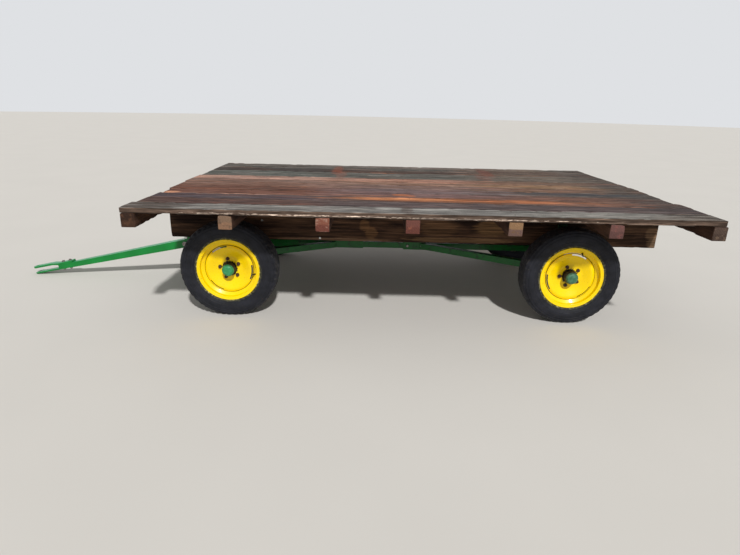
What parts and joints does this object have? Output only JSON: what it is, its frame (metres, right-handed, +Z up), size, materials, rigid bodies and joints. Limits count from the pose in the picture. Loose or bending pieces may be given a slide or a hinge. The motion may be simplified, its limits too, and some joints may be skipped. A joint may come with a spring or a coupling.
{
  "type": "hay wagon",
  "caption": "Flat farm wagon: weathered plank deck on timber sills over a steel four-wheel running gear, its front wheels steered by a hinged tongue.",
  "frame": {"origin": "on the floor, under the middle of the box around the whole wagon", "axes": "+X rearwards along the wagon, +Y to its right, +Z up"},
  "size_m": [5.0753, 2.438, 0.851],
  "materials": {
    "deck_boards": "bare, weathered",
    "sill_timber": "bare, weathered",
    "green_paint": "gloss enamel",
    "yellow_paint": "gloss enamel",
    "hub_paint": "old, greasy",
    "cap_paint": "gloss enamel",
    "tyre_rubber": "dull, dusty",
    "bare_steel": "worn"
  },
  "bodies": {
    "frame": {"deck_planks": "deck_boards", "cross_sills": "sill_timber", "long_sill_left": "sill_timber", "long_sill_right": "sill_timber", "bolster_front": "green_paint", "bolster_rear": "green_paint", "stakes_front": "green_paint", "stakes_rear": "green_paint", "axle_front": "green_paint", "axle_rear": "green_paint", "reach_outer": "green_paint", "reach_inner": "green_paint", "reach_clamp": "green_paint", "hounds_front": "green_paint", "hounds_rear": "green_paint", "front_nose": "green_paint"},
    "steering_bracket": {"steering_bracket": "green_paint", "pivot_pin": "bare_steel", "hinge_pin": "bare_steel"},
    "tongue": {"tongue_tube": "green_paint", "hitch_strap_upper": "green_paint", "hitch_strap_lower": "green_paint"},
    "knuckle_left": {"knuckle_left": "green_paint", "kingpin_left": "bare_steel"},
    "knuckle_right": {"knuckle_right": "green_paint", "kingpin_right": "bare_steel"},
    "tie_rod_left": {"tie_rod_left": "green_paint"},
    "tie_rod_right": {"tie_rod_right": "green_paint"},
    "wheel_front_left": {"tyre_front_left": "tyre_rubber", "rim_front_left": "yellow_paint", "hub_front_left": "hub_paint", "hub_cap_front_left": "cap_paint"},
    "wheel_front_right": {"tyre_front_right": "tyre_rubber", "rim_front_right": "yellow_paint", "hub_front_right": "hub_paint", "hub_cap_front_right": "cap_paint"},
    "wheel_rear_left": {"tyre_rear_left": "tyre_rubber", "rim_rear_left": "yellow_paint", "hub_rear_left": "hub_paint", "hub_cap_rear_left": "cap_paint"},
    "wheel_rear_right": {"tyre_rear_right": "tyre_rubber", "rim_rear_right": "yellow_paint", "hub_rear_right": "hub_paint", "hub_cap_rear_right": "cap_paint"}
  },
  "joints": [
    {"name": "tongue_swing", "type": "hinge", "parent": "frame", "child": "steering_bracket", "pos_m": [-0.98035, 0, 0.2918], "axis": [0, 0, 1], "range_deg": [-30, 30]},
    {"name": "tongue_lift", "type": "hinge", "parent": "steering_bracket", "child": "tongue", "pos_m": [-1.18235, 0, 0.31], "axis": [0, 1, 0], "range_deg": [0, 90]},
    {"name": "steer_left", "type": "hinge", "parent": "frame", "child": "knuckle_left", "pos_m": [-0.59935, -0.6, 0.343], "axis": [0, 0, 1], "range_deg": [-30, 30]},
    {"name": "tie_rod_left_end", "type": "hinge", "parent": "steering_bracket", "child": "tie_rod_left", "pos_m": [-1.10035, -0.06, 0.2652], "axis": [0, 0, 1], "range_deg": [-30, 30]},
    {"name": "steer_right", "type": "hinge", "parent": "frame", "child": "knuckle_right", "pos_m": [-0.59935, 0.6, 0.343], "axis": [0, 0, 1], "range_deg": [-30, 30]},
    {"name": "tie_rod_right_end", "type": "hinge", "parent": "steering_bracket", "child": "tie_rod_right", "pos_m": [-1.10035, 0.06, 0.2652], "axis": [0, 0, 1], "range_deg": [-30, 30]},
    {"name": "spin_front_left", "type": "hinge", "parent": "knuckle_left", "child": "wheel_front_left", "pos_m": [-0.59935, -0.7645, 0.343], "axis": [0, 1, 0], "continuous": true},
    {"name": "spin_front_right", "type": "hinge", "parent": "knuckle_right", "child": "wheel_front_right", "pos_m": [-0.59935, 0.7645, 0.343], "axis": [0, 1, 0], "continuous": true},
    {"name": "spin_rear_left", "type": "hinge", "parent": "frame", "child": "wheel_rear_left", "pos_m": [1.80165, -0.7645, 0.343], "axis": [0, 1, 0], "continuous": true},
    {"name": "spin_rear_right", "type": "hinge", "parent": "frame", "child": "wheel_rear_right", "pos_m": [1.80165, 0.7645, 0.343], "axis": [0, 1, 0], "continuous": true}
  ],
  "couplings": [
    {"joint": "steer_left", "follows": "tongue_swing", "ratio": 1},
    {"joint": "tie_rod_left_end", "follows": "tongue_swing", "ratio": -1},
    {"joint": "steer_right", "follows": "tongue_swing", "ratio": 1},
    {"joint": "tie_rod_right_end", "follows": "tongue_swing", "ratio": -1}
  ]
}
